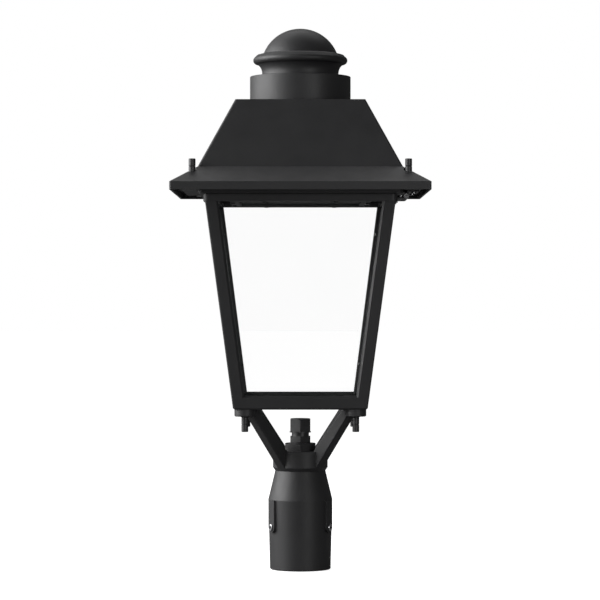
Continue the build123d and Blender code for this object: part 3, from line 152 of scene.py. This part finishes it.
# ---------------------------------------------------------------- materials
def powder_coat(name, dark, light, rough, grain=900.0, strength=0.35):
    """Fine-textured satin powder coat: small grains, slow drift of shade and gloss, soft edges."""
    s = Shader(name)
    s.colour(s.noise(9.0, detail=4.0), dark, light, COAT_LOW, COAT_HIGH)
    s.roughness(s.noise(38.0, detail=5.0), rough - 0.035, rough + 0.035)
    waves = s.bump(s.noise(grain / 6.0, detail=2.0), 0.12, 0.4 * MM, s.soft_edges(0.5 * MM))
    s.relief(s.noise(grain, detail=2.0), strength, 0.12 * MM, waves)
    return s.material


def turned_metal(name, dark, light, rough, lines_along=LINES_ALONG_Z):
    """Machined or drawn metal: fine lines across one direction, and a slight drift of colour."""
    s = Shader(name)
    lines = s.noise(1.0, detail=4.0, vector=s.scaled(lines_along))
    s.colour(s.noise(60.0, detail=3.0), dark, light)
    s.roughness(lines, rough - 0.06, rough + 0.08)
    s.relief(lines, 0.25, 0.05 * MM, s.soft_edges(0.25 * MM))
    s.bsdf.inputs["Metallic"].default_value = 1.0
    return s.material


def moulded(name, dark, light, rough, grain=1400.0, strength=0.2):
    """Moulded plastic or rubber with a fine spark-eroded grain."""
    s = Shader(name)
    s.colour(s.noise(22.0, detail=4.0), dark, light)
    s.roughness(s.noise(90.0, detail=3.0), rough - 0.05, rough + 0.05)
    s.relief(s.noise(grain, detail=2.0), strength, 0.08 * MM, s.soft_edges(0.3 * MM))
    return s.material


def clear_pane(name, dark, light, alpha):
    """Clear toughened glass: nearly all passes through, and more is held back where it is seen edge on, so
    that its grey shows there as a painted reflection.
    """
    s = Shader(name)
    s.colour(s.noise(14.0, detail=4.0), dark, light)
    s.roughness(s.noise(25.0, detail=4.0), 0.02, 0.06)
    # Painted reflection: the pane grows more opaque where it is seen edge on, so its grey shows there
    slant = s.add("ShaderNodeLayerWeight", {"Blend": SLANT_BLEND})
    # The painted reflection is added to a faint random smudge in the pane's opacity
    painted_reflection_and_smudge = s.add("ShaderNodeMath", {1: SLANT_PAINTED_REFLECTION}, operation="MULTIPLY_ADD")
    s.link(slant.outputs["Facing"], painted_reflection_and_smudge, 0)
    s.link(s.to_range(s.noise(11.0, detail=5.0), alpha * 0.8, alpha * 1.2), painted_reflection_and_smudge, 2)
    s.link(painted_reflection_and_smudge.outputs[0], s.bsdf, "Alpha")
    s.relief(s.noise(5.0, detail=1.0), 0.02, 1.0 * MM)
    s.bsdf.inputs["IOR"].default_value = GLASS_IOR
    return s.material


def lens_plastic(name):
    """Clear moulded lenses, half seen through."""
    s = Shader(name)
    s.colour(s.noise(30.0, detail=3.0), (0.86, 0.9, 0.92), (0.95, 0.97, 0.98))
    s.roughness(s.noise(120.0, detail=2.0), 0.08, 0.16)
    s.link(s.to_range(s.noise(60.0, detail=2.0), 0.42, 0.5), s.bsdf, "Alpha")
    return s.material


def circuit_board(name):
    """White solder mask with faint copper tracks that show through as a pale grid."""
    s = Shader(name)
    tracks = s.add("ShaderNodeTexBrick", {
        "Scale": 1.0, "Mortar Size": TRACK_WIDTH,
        "Brick Width": TRACK_SPACING_X, "Row Height": TRACK_SPACING_Y,
        "Color1": (0.84, 0.84, 0.82, 1.0), "Color2": (0.8, 0.81, 0.79, 1.0),
        "Mortar": (0.62, 0.64, 0.6, 1.0)})
    s.link(s.place, tracks, "Vector")
    s.link(tracks.outputs["Color"], s.bsdf, "Base Color")
    s.roughness(s.noise(200.0, detail=3.0), 0.3, 0.42)
    s.relief(tracks.outputs["Fac"], 0.3, 0.05 * MM)
    return s.material


MATERIALS = {
    "powder_black": powder_coat("powder_black", (0.0145, 0.0145, 0.0155), (0.0195, 0.0195, 0.0205), 0.52),
    "black_steel": powder_coat("black_steel", (0.015, 0.015, 0.016), (0.022, 0.022, 0.023), 0.42,
                               grain=1600.0, strength=0.2),
    # hinge_steel: painted highlight, black paint given a lighter grey than the rest for the light that the
    # hinge catches
    "hinge_steel": powder_coat("hinge_steel", (0.05, 0.05, 0.052), (0.075, 0.075, 0.078), 0.4,
                               grain=1200.0, strength=0.25),
    "stainless": turned_metal("stainless", (0.66, 0.66, 0.67), (0.78, 0.78, 0.79), 0.24),
    "zinc_steel": turned_metal("zinc_steel", (0.52, 0.53, 0.55), (0.7, 0.7, 0.71), 0.34),
    "bare_aluminium": turned_metal("bare_aluminium", (0.6, 0.61, 0.62), (0.74, 0.75, 0.76), 0.42,
                                   LINES_ALONG_Y),
    "clear_glass": clear_pane("clear_glass", (0.4, 0.45, 0.43), (0.46, 0.5, 0.48), alpha=0.008),
    "cover_glass": clear_pane("cover_glass", (0.14, 0.18, 0.17), (0.18, 0.22, 0.21), alpha=0.04),
    "lens_acrylic": lens_plastic("lens_acrylic"),
    "board_white": circuit_board("board_white"),
    "gland_nylon": moulded("gland_nylon", (0.016, 0.016, 0.017), (0.026, 0.026, 0.027), 0.38),
    "gear_plastic": moulded("gear_plastic", (0.22, 0.23, 0.25), (0.3, 0.31, 0.33), 0.45),
    "rubber_black": moulded("rubber_black", (0.012, 0.012, 0.012), (0.02, 0.02, 0.02), 0.7,
                            grain=700.0, strength=0.4),
}

for part in frame["record"]["subparts"]:
    for material_slot in NODES[part["node"]].material_slots:
        material_slot.link = "OBJECT"
        material_slot.material = MATERIALS[part["material_slot"]]


# ---------------------------------------------------------------- studio
def seen_straight(tree, path):
    """1 for camera rays and for rays through glass, and 0 for all others."""
    seen = tree.add("ShaderNodeMath", operation="MAXIMUM")
    tree.link(path.outputs["Is Camera Ray"], seen, 0)
    tree.link(path.outputs["Is Transmission Ray"], seen, 1)
    return seen.outputs[0]


def floor_material():
    """Dark grey where it lights the object, and white to the camera."""
    s = Shader("studio_floor")
    s.tree.nodes.remove(s.bsdf)
    bounce = s.add("ShaderNodeBsdfDiffuse", {"Color": (FLOOR_BOUNCE, FLOOR_BOUNCE, FLOOR_BOUNCE, 1.0)})
    shown = s.add("ShaderNodeBsdfDiffuse", {"Color": (FLOOR_SHOWN, FLOOR_SHOWN, FLOOR_SHOWN, 1.0)})
    glow = s.add("ShaderNodeEmission", {"Strength": FLOOR_GLOW})
    both = s.add("ShaderNodeAddShader")
    s.link(shown.outputs[0], both, 0)
    s.link(glow.outputs[0], both, 1)
    mix = s.add("ShaderNodeMixShader")
    s.link(seen_straight(s, s.add("ShaderNodeLightPath")), mix, 0)
    s.link(bounce.outputs[0], mix, 1)
    s.link(both.outputs[0], mix, 2)
    s.link(mix.outputs[0], s.tree.nodes["Material Output"], "Surface")
    return s.material


def floor():
    mesh = bpy.data.meshes.new("studio_floor")
    build = bmesh.new()
    bmesh.ops.create_grid(build, x_segments=FLOOR_CELLS, y_segments=FLOOR_CELLS, size=FLOOR_HALF)
    build.to_mesh(mesh)
    build.free()
    piece = bpy.data.objects.new("studio_floor", mesh)
    bpy.context.scene.collection.objects.link(piece)
    piece.location = (0, 0, CAD_BOX[0][2] - FLOOR_DROP)
    mesh.materials.append(floor_material())


def studio_world():
    """White to the eye; an even grey as light; in reflections white to the left and dim elsewhere."""
    world = bpy.data.worlds.new("studio")
    bpy.context.scene.world = world
    world.use_nodes = True
    world.node_tree.nodes.clear()
    t = Tree(world.node_tree)
    direction = t.add("ShaderNodeSeparateXYZ")
    t.link(t.add("ShaderNodeTexCoord").outputs["Generated"], direction, 0)
    side = t.add("ShaderNodeMapRange", {"From Min": WORLD_WHITE_X, "From Max": WORLD_DIM_X,
                                        "To Min": 1.0, "To Max": WORLD_DIM}, interpolation_type="SMOOTHSTEP")
    t.link(direction.outputs["X"], side, "Value")
    path = t.add("ShaderNodeLightPath")
    lit = t.add("ShaderNodeMix", {"A": WORLD_FILL})
    t.link(path.outputs["Is Glossy Ray"], lit, "Factor")
    t.link(side.outputs["Result"], lit, "B")
    strength = t.add("ShaderNodeMath", operation="MAXIMUM")
    t.link(seen_straight(t, path), strength, 0)
    t.link(lit.outputs["Result"], strength, 1)
    background = t.add("ShaderNodeBackground", {"Color": (1.0, 1.0, 1.0, 1.0)})
    t.link(strength.outputs[0], background, "Strength")
    t.link(background.outputs[0], t.add("ShaderNodeOutputWorld"), "Surface")


def lamp(name, azimuth, elevation, distance, width, height, watts):
    """A soft rectangular lamp that points at the middle of the lantern."""
    data = bpy.data.lights.new(name, "AREA")
    data.shape = "RECTANGLE"
    data.size = width
    data.size_y = height
    data.energy = watts
    lamp_object = bpy.data.objects.new(name, data)
    bpy.context.scene.collection.objects.link(lamp_object)
    a, e = math.radians(azimuth), math.radians(elevation)
    away = Vector((math.sin(a) * math.cos(e), -math.cos(a) * math.cos(e), math.sin(e)))
    lamp_object.location = Vector(LAMP_AIM) + away * distance
    lamp_object.rotation_euler = away.to_track_quat("Z", "Y").to_euler()


def photo_camera():
    data = bpy.data.cameras.new("photo")
    data.sensor_width = CAMERA_SENSOR
    data.lens = CAMERA_LENS
    data.clip_end = CAMERA_SIGHT
    camera = bpy.data.objects.new("photo", data)
    bpy.context.scene.collection.objects.link(camera)
    camera.location = CAMERA_PLACE
    camera.rotation_euler = (math.radians(CAMERA_TILT), 0.0, 0.0)
    bpy.context.scene.camera = camera


floor()
studio_world()
for settings in LAMPS:
    lamp(*settings)
photo_camera()
bpy.context.scene.view_settings.view_transform = "Standard"
